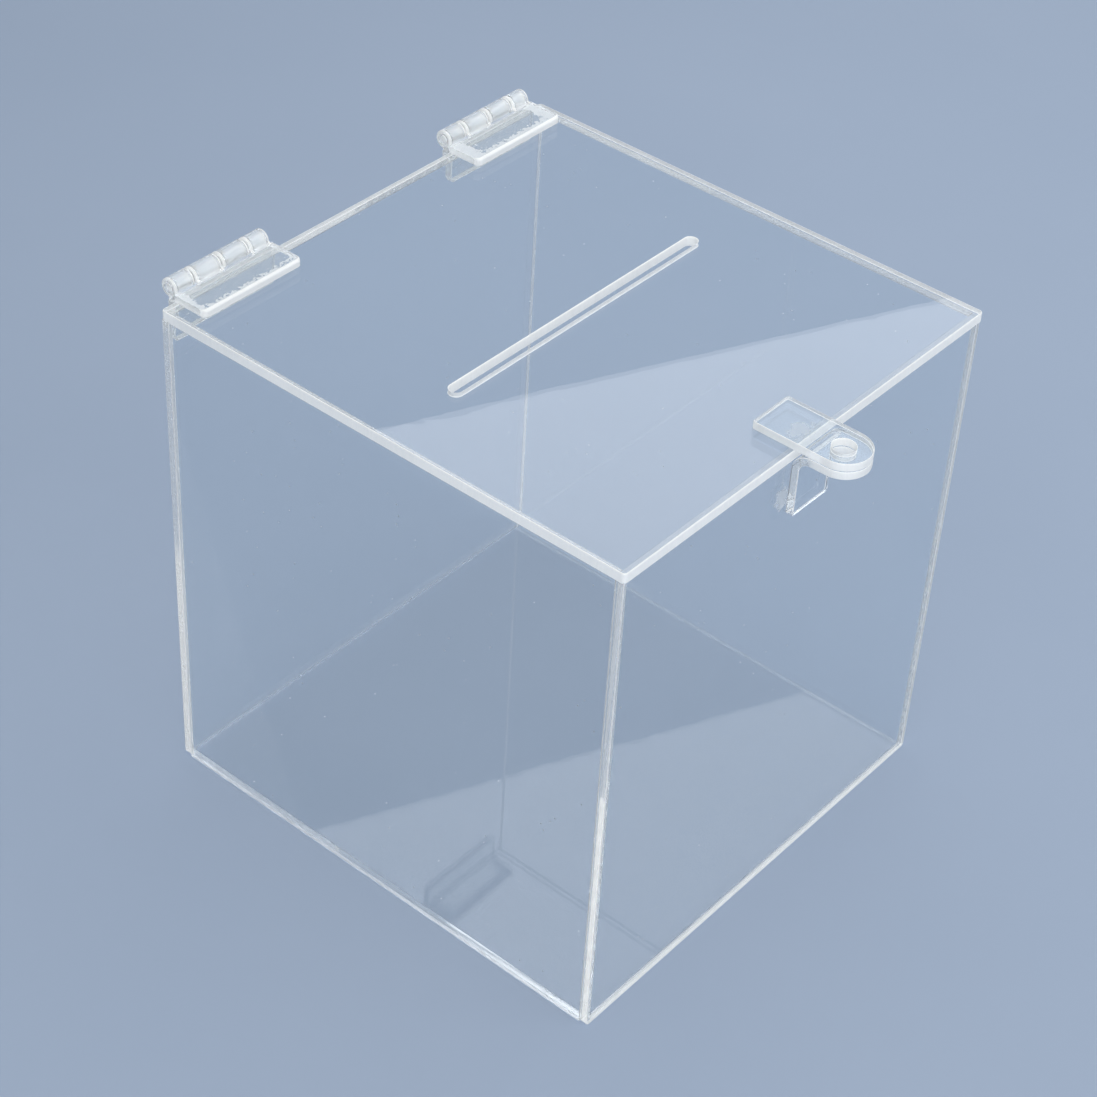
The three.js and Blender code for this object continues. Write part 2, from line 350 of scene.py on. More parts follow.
# the edge section carried round an outline, with flat faces above and below
def flatSheet(box, low, high, axes, edge, frostAt, hole=None, inlay=None, topFinish=onCut):
    axes = np.asarray(axes, float)
    keys = outlineKeys(box, edge["arcSteps"], edge["runSteps"])
    if inlay is not None:  # a patch of another finish in the upper face
        eye = inlay["centre"]
        angles = anglesFrom(eye, keys, outlineKeys(inlay, edge["arcSteps"], edge["inlaySteps"]))
        keys, patchLoop = outlineOnRays(box, eye, angles), outlineOnRays(inlay, eye, angles)
    if hole is None:
        loops = [(keys, roundBoxNormal(keys, box), -1)]
    else:
        eye = np.asarray(hole["centre"], float)
        angles = anglesFrom(eye, keys, outlineKeys(hole, edge["holeSteps"], edge["runSteps"]))
        outer, inner = (outlineOnRays(b, eye, angles) for b in (box, hole))
        loops = [(outer, roundBoxNormal(outer, box), -1), (inner, roundBoxNormal(inner, hole), 1)]
    insets, heights = edgeSection(low, high, edge["arris"], edge["arrisSteps"], edge["cutSteps"])
    footInsets, footHeights = edgeSection(low, high, edge["footArris"], edge["arrisSteps"], edge["cutSteps"])
    onArris, isFlat = sectionParts(insets)
    patches, rims = [], []
    for loop, normal, way in loops:
        footShare = np.clip(-normal[:, 1], 0, 1)[None]  # 1 where the outline faces down
        inset = insets[:, None] + footShare * (footInsets - insets)[:, None]
        height = heights[:, None] + footShare * (footHeights - heights)[:, None]
        flat = loop[None] + way * inset[..., None] * normal[None]
        points = np.concatenate([flat, height[..., None]], -1) @ axes
        along = runLengths(np.concatenate([loop, loop[:1]]))
        across = runLengths(np.stack([insets, heights], -1))
        frost = frostAt(points, np.broadcast_to((normal @ axes[:2])[None], points.shape), onArris[:, None])
        bent = np.linalg.norm(np.roll(normal, -1, 0) - normal, axis=1) > hair
        smooth = ~isFlat[:, None] | bent[None]  # straight cuts are flat
        onTop = (normal[:, 1] > mostly) & (np.roll(normal[:, 1], -1) > mostly)
        finish = np.where(onTop, topFinish, onCut)[None]
        patches.append(gridPatch(points, True, along, across, finish=finish, smooth=smooth, frost=frost))
        rims.append((points[0], points[-1], flat[0]))
    for side in (0, 1):
        if inlay is not None and side == 1:
            level = np.full((len(patchLoop), 1), high)
            inner = np.concatenate([patchLoop, level], 1) @ axes
            patches.append(capPatch(inner, patchLoop, finish=onPatch))
        elif hole is None:
            patches.append(capPatch(rims[0][side], rims[0][2]))
            continue
        else:
            inner = rims[1][side]
        spread = np.linspace(0, 1, len(inner) + 1)
        patches.append(gridPatch(np.stack([rims[0][side], inner]), True, spread, [0, 1], smooth=False))
    return patches


panelEdge = {
    "arris": 0.3,
    "footArris": 0.3,
    "arrisSteps": 3,
    "arcSteps": 6,
    "holeSteps": 14,
    "inlaySteps": 2,
    "runSteps": 40,
    "cutSteps": 6,
}

panels = {
    "width": 194.0,
    "depth": 200.0,
    "height": 200.0,
    "sheet": 3.2,
    "footRadius": 1.5,
    "squareCorner": 0.4,
    "wallFootArris": 0.05,  # the feet are left sharp
    "baseArris": 0.1,
    "weld": 0.02,  # cemented faces reach into each other by a hair, so that light crosses them
    "baseGap": 0.02,  # the base's front and back cuts are dry
    "lidRest": 0.06,  # air under the lid
    "lidFrost": 0.92,
    "footFrost": 0.92,
    "leftFootFrost": 0.25,
    "rightFootFrost": 0.12,
    "topFrost": 0.07,
    "sideTopFrost": 0.3,  # these tops are dull, and hide the foot from the lid
    # near opaque, so that the painted reflection on the front wall's top shows
    "frontTopFrost": 0.9,
    "frontEndFrost": (0.05, 0.75),  # left and right ends of the broad walls: a polished end carries light
    "backEndFrost": (0.3, 0.05),  # down to the foot
    "cementFrost": 0.05,
    "backCementFrost": 0.5,  # a thicker line of cement in the two corners at the back
    "baseFrost": 0.9,
    "baseBackFrost": 0.08,
    "baseRimFrost": 0.95,  # upper arris of the base's back cut
    "arrisFrost": 0.7,
    "sideArrisFrost": 0.4,
    "topArrisFrost": 0.12,
    "baseWhite": (1.6, 2.2),  # the base's front cut goes from white to clear between these heights
}

acrossX = [[1, 0, 0], [0, 0, 1], [0, -1, 0]]  # outline in x and z, thickness towards the front
acrossY = [[0, 1, 0], [0, 0, 1], [1, 0, 0]]  # outline in y and z, thickness to the right
flatUp = np.eye(3)  # outline in x and y, thickness upwards


# broad walls: white foot, white arrises, each end with its own polish, and a near opaque top at the front,
# which carries the painted reflection
def broadWallFrost(points, normals, onArris):
    onRight = normals[..., 0] > 0
    front, back = (np.where(onRight, *panels[key][::-1]) for key in ("frontEndFrost", "backEndFrost"))
    end = np.where(onArris, panels["arrisFrost"], np.where(points[..., 1] < 0, front, back))
    top = np.where(onArris, panels["topArrisFrost"], panels["topFrost"])
    top = np.where(points[..., 1] < 0, panels["frontTopFrost"], top)
    frost = np.where(normals[..., 2] > mostly, top, end)
    return np.where(normals[..., 2] < -mostly, panels["footFrost"], frost)


# side walls: cemented ends with pale arrises, a foot less white than the broad walls', dull top
def sideWallFrost(points, normals, onArris):
    top = np.full(points.shape[:2], panels["sideTopFrost"])
    joint = np.where(normals[..., 1] > mostly, panels["backCementFrost"], panels["cementFrost"])
    end = np.where(onArris, panels["sideArrisFrost"], joint)
    foot = np.where(points[..., 0] < 0, panels["leftFootFrost"], panels["rightFootFrost"])
    return np.where(normals[..., 2] < -mostly, foot, np.where(normals[..., 2] > mostly, top, end))


# base: cemented at the sides, with the low half of its front cut and the rim at the back left white
def baseFrost(points, normals, onArris):
    low, high = panels["baseWhite"]
    share = np.clip((high - points[..., 2]) / (high - low), 0, 1)
    front = panels["cementFrost"] + share * (panels["baseFrost"] - panels["cementFrost"])
    frost = np.where(normals[..., 1] < -mostly, front, panels["cementFrost"])
    onRim = onArris & (points[..., 2] > panels["sheet"] / 2)
    back = np.where(onRim, panels["baseRimFrost"], panels["baseBackFrost"])
    return np.where(normals[..., 1] > mostly, back, frost)


# lid: white on every cut
def lidFrost(points, normals, onArris):
    return np.full(points.shape[:2], panels["lidFrost"])


# an outline by its four sides, with one radius for the low corners and one for the high
def roundBox(left, low, right, high, lowRadius, highRadius):
    return {"centre": np.array([(left + right) / 2, (low + high) / 2]),
            "half": np.array([(right - left) / 2, (high - low) / 2]),
            "lowRadius": lowRadius, "highRadius": highRadius}


haze = {
    "box": (-20.9, 179.0, -10.3, 194.9),  # left, low, right and high on the front wall
    "corner": 3.0,
    "deep": 1.0,  # how far off the face the film still counts
    "white": (0.93, 0.96, 0.97, 1),
    "grey": (0.88, 0.92, 0.94, 1),
    "through": 0.72,
    "tabThrough": 0.82,
    "rough": 0.35,
    "ragNoise": (260.0, 5.0, 0.6),
    "ragStep": (0.3, 0.7),
    "rag": (-0.3, 0.3),
    "filmStep": (0.35, 0.9),
    "rimStep": (0.8, 0.98),
    "lampShare": 0.92,
}


# a film of cement, thickest in the middle and gone at the rim: the distance from its centre,
# as a share of its half size, goes through a ragged step
def hazeFinish(name, look, centre, half):
    finish, tree = emptyFinish(name)
    place = addNode(tree, "TexCoord").outputs["Object"]
    spot = addNode(tree, "Mapping", {
        "Vector": place, "Location": [c * mm for c in centre], "Scale": [h * mm for h in half]},
        vector_type="TEXTURE").outputs[0]
    reach = addNode(tree, "VectorMath", {0: spot}, operation="LENGTH").outputs["Value"]
    rag = noise(tree, place, *look["ragNoise"])
    ragged = maths(tree, "ADD", reach, ramp(tree, rag, *look["ragStep"], *look["rag"]))
    film = maths(tree, "MULTIPLY", ramp(tree, ragged, *look["filmStep"], 1.0, 0.0),
                 ramp(tree, reach, *look["rimStep"], 1.0, 0.0))
    acrylicBody(tree, look, clearRays, {
        "Base Color": mixColour(tree, rag, look["white"], look["grey"]),
        "Roughness": line(tree, film, 0.0, look["rough"]),
        "Transmission Weight": line(tree, film, 1.0, look["through"])})
    return finish


wallTop = panels["height"] - panels["lidRest"]
halfWidth, halfDepth, sheet = panels["width"] / 2, panels["depth"] / 2, panels["sheet"]
square = panels["squareCorner"]
broadWall = roundBox(-halfWidth, 0, halfWidth, wallTop, panels["footRadius"], square)
sideReach = halfDepth - sheet + panels["weld"]
sideWall = roundBox(-sideReach, 0, sideReach, wallTop, square, square)
baseSide = halfWidth - sheet + panels["weld"]
baseReach = halfDepth - sheet - panels["baseGap"]
basePanel = roundBox(-baseSide, -baseReach, baseSide, baseReach, square, square)

wallEdge = dict(panelEdge, footArris=panels["wallFootArris"])
baseEdge = dict(panelEdge, arris=panels["baseArris"], footArris=panels["baseArris"])
hazePatch = roundBox(*haze["box"], haze["corner"], haze["corner"])
hazeFace = hazeFinish("cementHaze", haze, (hazePatch["centre"][0], -halfDepth, hazePatch["centre"][1]),
                      (hazePatch["half"][0], haze["deep"], hazePatch["half"][1]))
# the front wall's top cut takes the finish with the painted reflection
putPiece("frontPanel", flatSheet(broadWall, halfDepth - sheet, halfDepth, acrossX, wallEdge, broadWallFrost,
                                 inlay=hazePatch, topFinish=onExtra),
         [*sheetFaces, hazeFace, paintedReflectionFace], "box", "front_panel")
plainPanels = {  # outline, low side, axes, edge and frost
    "back": (broadWall, -halfDepth, acrossX, wallEdge, broadWallFrost),
    "left": (sideWall, -halfWidth, acrossY, wallEdge, sideWallFrost),
    "right": (sideWall, halfWidth - sheet, acrossY, wallEdge, sideWallFrost),
    "bottom": (basePanel, 0, flatUp, baseEdge, baseFrost),
}
for side, (outline, low, axes, edge, frostAt) in plainPanels.items():
    putPiece(side + "Panel", flatSheet(outline, low, low + sheet, axes, edge, frostAt),
             sheetFaces, "box", side + "_panel")

lid = {
    "sheet": 4.0,
    "overhang": 0.5,
    "backGap": 0.3,
    "corner": 1.5,
    "arris": 0.4,
    "slotLength": 128.4,
    "slotWidth": 4.8,
    "slotY": -0.8,
    "runSteps": 12,
}

lidLow, lidHigh = panels["height"], panels["height"] + lid["sheet"]
lidOutline = roundBox(-halfWidth - lid["overhang"], -halfDepth - lid["overhang"], halfWidth + lid["overhang"],
                      halfDepth - lid["backGap"], lid["corner"], lid["corner"])
slotHalf = lid["slotWidth"] / 2
slot = roundBox(-lid["slotLength"] / 2, lid["slotY"] - slotHalf,
                lid["slotLength"] / 2, lid["slotY"] + slotHalf, slotHalf, slotHalf)
lidEdge = dict(panelEdge, arris=lid["arris"], footArris=lid["arris"], runSteps=lid["runSteps"])
putPiece("lidPanel", flatSheet(lidOutline, lidLow, lidHigh, flatUp, lidEdge, lidFrost, slot),
         sheetFaces, "lid", "lid_panel")
print("walls, base and lid ready")


# hinges: one moulded leaf, used four times, and a pin in each barrel

hinge = {
    "left": -68.2,
    "right": 68.8,
    "length": 46.0,
    "reach": 18.5,
    "thickness": 3.0,
    "corner": 2.0,
    "ease": 1.0,
    "arris": 0.3,
    "barrel": 3.5,
    "knuckles": (9.6, 12.8, 12.8, 9.6),  # lengths along the barrel, every second one on each leaf
    "gap": 0.6,
    "knuckleEase": 0.6,
    "settle": (0.12, 0.5, 1.0),  # rows past the ease that keep the knuckle straight
    "fillet": 1.2,
    "swingGap": 0.4,
    "bore": 1.8,
    "boreEase": 0.2,
    "pin": 1.5,
    "pinInset": 0.5,
    "pinEase": 0.5,
    "pinSides": 36,
    "pinFrost": 0.3,
    "pinEndFrost": 0.9,
    "barrelSteps": 56,
    "filletSteps": 6,
    "plateSteps": {"back": 4, "top": 8, "nose": 8, "face": 4, "toe": 3, "under": 16},
    "cornerSteps": 6,
    "easeSteps": 4,
    "plateRows": 13,  # even stations along the plate
    "plateRowReach": 0.8,  # out to this share of its half length
    "leastRow": 0.01,  # stations closer than this to the end's arris are left out
    "eyeRows": (0, 1, 2, 2.3),  # places of the rings of a knuckle's flat end on the map
    "lidLeafFrost": 0.75,
    "wallLeafFrost": 0.2,
    "arrisFrost": 0.95,
    "boreFrost": 0.04,
    "eyeFrost": 0.25,  # flat ends of the knuckles
    "rimFrost": 0.85,  # rounded rims of the knuckles
    "rimWhite": (0.7, 1.3),  # the rims go from white to clear between these distances from the end
    "leafEndFrost": 0.35,
}

hingeLook = {
    "tint": (0.965, 0.985, 0.99, 1),
    "white": (0.97, 0.985, 0.99, 1),
    "rough": (0.03, 0.20),
    "roughStep": (0.35, 0.75),
    "through": 0.86,
    "flow": 0.10,
    "flowDepth": 0.0004,
    "flowNoise": (1.0, 4.0, 0.5, 0.6),
    "stretch": (60.0, 420.0, 420.0),  # flow lines run along the pin
    "lampShare": 0.85,
}

barrelLook = dict(hingeLook, rough=(0.05, 0.22), through=0.72)
pinLook = dict(hingeLook, rough=(0.02, 0.08), through=0.96)

# how far the cement has crept in from each edge, in millimetres, and how bubbly it is behind that
cementLook = {
    "leftLid": {"front": 3.9, "left": 3.5, "right": 1.0, "bubbles": 2.2},
    "rightLid": {"front": 4.4, "left": 7.4, "right": 4.6, "bubbles": 2.4},
    "wall": {"front": 0.5, "left": 0.5, "right": 0.5, "bubbles": 60.0},
    "white": (0.96, 0.97, 0.965, 1),
    "grey": (0.86, 0.88, 0.885, 1),
    "through": 0.22,
    "rough": (0.02, 0.6),
    "ragNoise": (0.55, 2.5, 0.55),
    "ragStep": (0.3, 0.7),
    "rag": (-0.3, 0.3),
    "wetStep": (0.85, 1.08),
    "bubbleScale": 0.8,
    "bubbleSize": (0.16, 0.24),
    "sparseNoise": (0.35, 2.0),
    "sparseStep": (0.45, 0.6),
    "lampShare": 0.85,
}


# moulded leaf: clear, with the faint flow lines of the mould
def mouldedFinish(name, look):
    finish, tree = emptyFinish(name)
    place = addNode(tree, "TexCoord").outputs["Object"]
    stretched = addNode(tree, "Mapping", {"Vector": place, "Scale": look["stretch"]}).outputs[0]
    flow = noise(tree, stretched, *look["flowNoise"])
    bump = addNode(tree, "Bump", {
        "Height": flow, "Strength": look["flow"], "Distance": look["flowDepth"]}).outputs[0]
    acrylicBody(tree, look, lampRays, {
        "Base Color": mixColour(tree, flow, look["tint"], look["white"]),
        "Roughness": ramp(tree, flow, *look["roughStep"], *look["rough"]),
        "Normal": bump, "Transmission Weight": look["through"]})
    return finish


# cemented underside: the least distance from three edges, each as a share of how far the cement
# crept in there, goes through a ragged step from white to clear, with bubbles at the rim
def cementFinish(name, look, margin, leaf):
    finish, tree = emptyFinish(name)
    place = addNode(tree, "UVMap", uv_map="surfaceMap").outputs[0]
    parts = addNode(tree, "SeparateXYZ", {0: place})
    along, inwards = parts.outputs[0], parts.outputs[1]
    fromFront = maths(tree, "DIVIDE", inwards, margin["front"])
    fromLeft = maths(tree, "DIVIDE", maths(tree, "ADD", along, leaf["length"] / 2), margin["left"])
    fromRight = maths(tree, "DIVIDE", maths(tree, "SUBTRACT", leaf["length"] / 2, along), margin["right"])
    near = maths(tree, "MINIMUM", fromFront, maths(tree, "MINIMUM", fromLeft, fromRight))
    rag = noise(tree, place, *look["ragNoise"])
    near = maths(tree, "ADD", near, ramp(tree, rag, *look["ragStep"], *look["rag"]))
    wet = ramp(tree, near, *look["wetStep"], 1.0, 0.0)
    cells = addNode(tree, "TexVoronoi", {"Vector": place, "Scale": look["bubbleScale"]}).outputs["Distance"]
    sparse = ramp(tree, noise(tree, place, *look["sparseNoise"]), *look["sparseStep"], 0.0, 1.0)
    dots = maths(tree, "MULTIPLY", ramp(tree, cells, *look["bubbleSize"], 1.0, 0.0), sparse)
    rim = maths(tree, "MULTIPLY", dots, ramp(tree, near, margin["bubbles"] / 2, margin["bubbles"], 1.0, 0.0))
    cement = maths(tree, "MAXIMUM", wet, rim)
    acrylicBody(tree, look, lampRays, {
        "Base Color": mixColour(tree, rag, look["white"], look["grey"]),
        "Roughness": ramp(tree, cement, 0.0, 1.0, *look["rough"]),
        "Transmission Weight": ramp(tree, cement, 0.0, 1.0, 1.0, look["through"])})
    return finish


hingeFace = mouldedFinish("mouldedHinge", hingeLook)
barrelFace = mouldedFinish("mouldedBarrel", barrelLook)
leafCement = {side: cementFinish(side + "LeafCement", cementLook, cementLook[side], hinge)
              for side in ("leftLid", "rightLid", "wall")}


# an arc: the centre plus the radius times cosine and sine of even angles, in degrees
def arcPoints(centre, radius, start, end, steps):
    t = np.radians(np.linspace(start, end, steps + 1))
    return np.asarray(centre) + radius * np.stack([np.cos(t), np.sin(t)], -1)


# a straight run: even shares of the way from a to b
def linePoints(a, b, steps):
    return np.asarray(a) + np.linspace(0, 1, steps + 1)[:, None] * (np.asarray(b) - np.asarray(a))


# a section in y and z set at each place along x
def atX(x, section):
    x = np.broadcast_to(np.asarray(x, float)[:, None], section.shape[:2])
    return np.concatenate([x[..., None], section], -1)


# leaf about its own pin, plate towards -y: the plate's section is carried along the pin,
# with openings where the knuckles run into it; each knuckle is a round contour joined to its bore
def leafPatches(cutFrost):
    low, high = -hinge["barrel"], -hinge["barrel"] + hinge["thickness"]
    front, back = -hinge["reach"], -hinge["barrel"] - hinge["swingGap"]
    filletZ = high + hinge["fillet"]
    filletY = -np.sqrt((hinge["barrel"] + hinge["fillet"]) ** 2 - filletZ ** 2)
    meet = np.degrees(np.arctan2(filletZ, filletY))
    half = hinge["length"] / 2
    places = np.cumsum((0, *hinge["knuckles"])) - sum(hinge["knuckles"]) / 2
    starts, stops = places[1::2] + hinge["gap"] / 2, places[2::2] - hinge["gap"] / 2
    steps, ease, arris = hinge["plateSteps"], hinge["ease"], hinge["arris"]
    runs = {
        "back": linePoints((back, low), (back, high), steps["back"]),
        "ledge": linePoints((back, high), (filletY, high), 1),
        "top": linePoints((filletY, high), (front + ease, high), steps["top"]),
        "nose": arcPoints((front + ease, high - ease), ease, 90, 180, steps["nose"]),
        "face": linePoints((front, high - ease), (front, low + arris), steps["face"]),
        "toe": arcPoints((front + arris, low + arris), arris, 180, 270, steps["toe"]),
        "under": linePoints((front + arris, low), (back, low), steps["under"]),
    }
    section = np.concatenate([run[:-1] for run in runs.values()])
    kind = np.concatenate([np.full(len(run) - 1, name) for name, run in runs.items()])
    rounded = np.isin(kind, ("nose", "toe"))

    # stations along the pin: eased ends, plan corners and both sides of each knuckle
    corner = half - hinge["corner"] + hinge["corner"] * np.sin(quarterTurn(hinge["cornerSteps"]))
    corner = corner[corner < half - arris - hinge["leastRow"]]
    ends = half - arris + arris * np.sin(quarterTurn(steps["toe"]))
    rimEase = hinge["knuckleEase"]
    rise = np.concatenate([rimEase * (1 - np.cos(quarterTurn(hinge["easeSteps"]))),
                           rimEase + np.array(hinge["settle"])])
    inner = np.concatenate([starts[:, None] + rise, stops[:, None] - rise], 1).ravel()
    between = np.linspace(-hinge["plateRowReach"] * half, hinge["plateRowReach"] * half, hinge["plateRows"])
    x = np.unique(np.round(np.concatenate([corner, -corner, ends, -ends, inner, between]), 6))
    into = np.clip(np.abs(x) - (half - hinge["corner"]), 0, hinge["corner"])
    draw = hinge["corner"] - np.sqrt(hinge["corner"] ** 2 - into ** 2)
    share = np.clip((filletY - section[:, 0]) / (filletY - front), 0, 1)
    y = section[None, :, 0] + draw[:, None] * share[None]
    z = np.broadcast_to(section[None, :, 1], y.shape)
    past = np.clip((np.abs(x) - (half - arris)) / arris, 0, 1)
    shrink = arris * (1 - np.sqrt(1 - past ** 2))
    middleY, middleZ = (y.min(1) + y.max(1)) / 2, (low + high) / 2
    y = middleY[:, None] + (y - middleY[:, None]) * (1 - shrink / ((y.max(1) - y.min(1)) / 2))[:, None]
    z = middleZ + (z - middleZ) * (1 - shrink / (hinge["thickness"] / 2))[:, None]
    plate = atX(x, np.stack([y, z], -1))
    mid = (x[1:] + x[:-1]) / 2
    onKnuckle = ((mid[:, None] > starts) & (mid[:, None] < stops)).any(1)
    keep = ~(onKnuckle[:, None] & np.isin(kind, ("back", "ledge"))[None])
    finish = np.where(rounded | (kind == "face"), onCut, np.where(kind == "under", onPatch, onFace))[None]
    # the map holds millimetres along the pin, and inwards from the front
    inwards = np.concatenate([section[:, 0] - front, [section[0, 0] - front]])
    frost = np.where(rounded, hinge["arrisFrost"], cutFrost)[None] * np.ones((len(x), 1))
    frost[[0, -1]] = hinge["leafEndFrost"]
    patches = [gridPatch(plate, True, inwards, x, finish, rounded[None], frost, keep)]
    patches[0]["uv"] = patches[0]["uv"][:, ::-1]
    for row in (0, -1):
        patches.append(capPatch(plate[row], section - [front, low], onCut, cutFrost))

    # knuckles
    filletArc = arcPoints((filletY, filletZ), hinge["fillet"], -90, meet - 180, hinge["filletSteps"])
    barrelArc = arcPoints((0, 0), hinge["barrel"], meet, -90, hinge["barrelSteps"])
    sole = linePoints((0, low), (back, low), steps["back"])
    contour = np.concatenate([filletArc[:-1], barrelArc[:-1], sole])
    weight = np.concatenate([np.linspace(0, 1, len(filletArc))[:-1], np.ones(len(barrelArc) - 1),
                             np.linspace(1, 0, len(sole))])
    seam = runs["back"][1:]  # where the contour meets the plate
    joined = np.concatenate([contour, seam])
    angle = np.unwrap(np.arctan2(joined[:, 1], joined[:, 0]))
    ringWay = np.stack([np.cos(angle), np.sin(angle)], -1)
    outward = contour / np.linalg.norm(contour, axis=1, keepdims=True)
    bore, boreInset = hinge["bore"], hinge["boreEase"]
    for start, stop in zip(starts, stops):
        rowX = x[(x > start - mergeStep) & (x < stop + mergeStep)]
        fromEnd = np.minimum(rowX - start, stop - rowX)
        inset = rimEase * (1 - np.sqrt(1 - (1 - np.clip(fromEnd / rimEase, 0, 1)) ** 2))
        body = contour[None] - (inset[:, None] * weight[None])[..., None] * outward[None]
        shell = atX(rowX, body)
        rimWhite, rimClear = hinge["rimWhite"]
        frost = hinge["rimFrost"] * np.clip((rimClear - fromEnd) / (rimClear - rimWhite), 0, 1)
        shellFinish = np.where((frost[1:] + frost[:-1]) > 0, onCut, onExtra)[:, None]
        patches.append(gridPatch(shell, False, runLengths(contour), rowX, shellFinish, True, frost[:, None]))
        for row, edge, into in ((0, start, 1), (-1, stop, -1)):
            outer, rim = np.concatenate([body[row], seam]), ringWay * (bore + boreInset)
            rings = np.stack([outer, (outer + rim) / 2, rim, ringWay * bore])
            ring = atX(np.array([edge, edge, edge, edge + into * boreInset]), rings)
            girth = runLengths(np.concatenate([joined, joined[:1]]))
            patches.append(gridPatch(ring, True, girth, hinge["eyeRows"], onCut, False, hinge["eyeFrost"]))
        boreX = np.array([start + boreInset, (start + stop) / 2, stop - boreInset])
        boreWall = atX(boreX, np.broadcast_to(ringWay * bore, (len(boreX), *ringWay.shape)))
        girth = runLengths(np.concatenate([ringWay, ringWay[:1]])) * bore
        patches.append(gridPatch(boreWall, True, girth, boreX, onCut, True, hinge["boreFrost"]))
    return patches


# pin: a round rod with eased ends, turned about the hinge's own axis
def pinPatches():
    end, radius, ease = sum(hinge["knuckles"]) / 2 - hinge["pinInset"], hinge["pin"], hinge["pinEase"]
    t = quarterTurn(hinge["easeSteps"])
    x = np.concatenate([-end + ease * (1 - np.cos(t)), (end - ease * (1 - np.cos(t)))[::-1]])
    r = np.concatenate([radius - ease * (1 - np.sin(t)), (radius - ease * (1 - np.sin(t)))[::-1]])
    a = np.arange(hinge["pinSides"]) * 2 * np.pi / hinge["pinSides"]
    ring = np.stack([np.cos(a), np.sin(a)], -1)
    rod = atX(x, r[:, None, None] * ring[None])
    along = np.linspace(0, 2 * np.pi * radius, len(a) + 1)
    ends = r < radius - hair
    finish = np.where(ends[1:] | ends[:-1], onCut, onFace)[:, None]
    frost = np.where(ends, hinge["pinEndFrost"], hinge["pinFrost"])[:, None]
    caps = [capPatch(rod[row], ring, onCut, hinge["pinEndFrost"]) for row in (0, -1)]
    return [gridPatch(rod, True, along, x, finish, True, frost), *caps]


# the same patches turned, then shifted
def movedPatches(patches, turn, place):
    return [dict(p, points=p["points"] @ np.asarray(turn, float).T + place) for p in patches]


lidLeaf, wallLeaf = leafPatches(hinge["lidLeafFrost"]), leafPatches(hinge["wallLeafFrost"])
pinRod = pinPatches()
upright = np.eye(3)
ontoWall = [[-1, 0, 0], [0, 0, 1], [0, 1, 0]]  # the same leaf turned over onto the back wall
weld = panels["weld"]
axisY, axisZ = halfDepth + hinge["barrel"], lidHigh + hinge["barrel"]
pinFace = mouldedFinish("pinRod", pinLook)
for side in ("left", "right"):
    x = hinge[side]
    putPiece(side + "HingeLidLeaf", movedPatches(lidLeaf, upright, (x, axisY, axisZ - weld)),
             [hingeFace, edgeFace, leafCement[side + "Lid"], barrelFace],
             "lid", f"hinge_{side}_lid_leaf")
    putPiece(side + "HingeWallLeaf", movedPatches(wallLeaf, ontoWall, (x, axisY - weld, axisZ)),
             [hingeFace, edgeFace, leafCement["wall"], barrelFace],
             "box", f"hinge_{side}_wall_leaf")
    putPiece(side + "HingePin", movedPatches(pinRod, upright, (x, axisY, axisZ)),
             [pinFace, edgeFace], "box", f"hinge_{side}_pin")
print("hinges ready")


# hasp: a flat tab on the lid over the tongue of a bent bracket

hasp = {
    "x": -2.6,
    "width": 19.4,
    "thickness": 3.0,
    "arris": 0.3,
    "corner": 1.0,
    "tabBack": -83.3,
    "holeY": -112.5,
    "hole": 4.0,
    "tongueGap": 0.3,
    "bendInside": 4.0,
    "foot": 178.4,
    "tabArcSteps": 24,
    "tabRunSteps": 8,
    "acrossSteps": 12,
    "cornerSteps": 5,
    "legSteps": 59,
    "eyeSteps": 36,
    "eyeSideSteps": 3,
    "cutSteps": 4,
    "eyeMargin": 1.5,  # the eye begins this far before the hole
    "frostRun": (-2.0, 1.0),  # the bracket's cut goes white between these distances from there
    "roundFrom": 2.0,  # the tab's cut is whiter from this far behind the hole's centre to the tip
    "sideFrost": 0.5,
    "roundFrost": 0.85,
    "legFrost": 0.08,
    "holeFrost": 0.95,
    "arrisFrost": 0.85,
    "blotch": (-5.0, -96.5),  # cement that has run under the tab, by the lid's front edge
    "blotchHalf": (9.0, 5.5),
}

haspX, haspHalf, holeY, hole = hasp["x"], hasp["width"] / 2, hasp["holeY"], hasp["hole"]
tabOutline = roundBox(haspX - haspHalf, holeY - haspHalf, haspX + haspHalf, hasp["tabBack"],
                      haspHalf, hasp["corner"])
tabHole = roundBox(haspX - hole, holeY - hole, haspX + hole, holeY + hole, hole, hole)
tabEdge = dict(panelEdge, arris=hasp["arris"], arcSteps=hasp["tabArcSteps"], runSteps=hasp["tabRunSteps"])


# tab: white round the end and in the hole, clearer along the straight sides
def tabFrost(points, normals, onArris):
    x, y = points[..., 0], points[..., 1]
    inHole = np.hypot(x - haspX, y - holeY) < hole + 2 * hasp["arris"]
    frost = np.where(y < holeY + hasp["roundFrom"], hasp["roundFrost"], hasp["sideFrost"])
    frost = np.where(inHole, hasp["holeFrost"], frost)
    return np.where(onArris, np.maximum(frost, hasp["arrisFrost"]), frost)


tabHaze = dict(haze, through=haze["tabThrough"])
tabFace = hazeFinish("tabCement", tabHaze, (*hasp["blotch"], lidHigh), (*hasp["blotchHalf"], haze["deep"]))
putPiece("haspLidTab", flatSheet(tabOutline, lidHigh - weld, lidHigh + hasp["thickness"], flatUp, tabEdge,
                                 tabFrost, tabHole),
         [tabFace, edgeFace], "lid", "hasp_lid_tab")

# the bracket's strip, measured along its face against the wall
tongueTop = lidHigh - hasp["tongueGap"]
bend = hasp["bendInside"] + hasp["thickness"]  # outer radius
bendY, bendZ = -halfDepth + weld - bend, tongueTop - bend
legLength, bendLength = bendZ - hasp["foot"], bend * np.pi / 2
eyeCentre = legLength + bendLength + bendY - holeY
eyeStart = eyeCentre - hole - hasp["eyeMargin"]


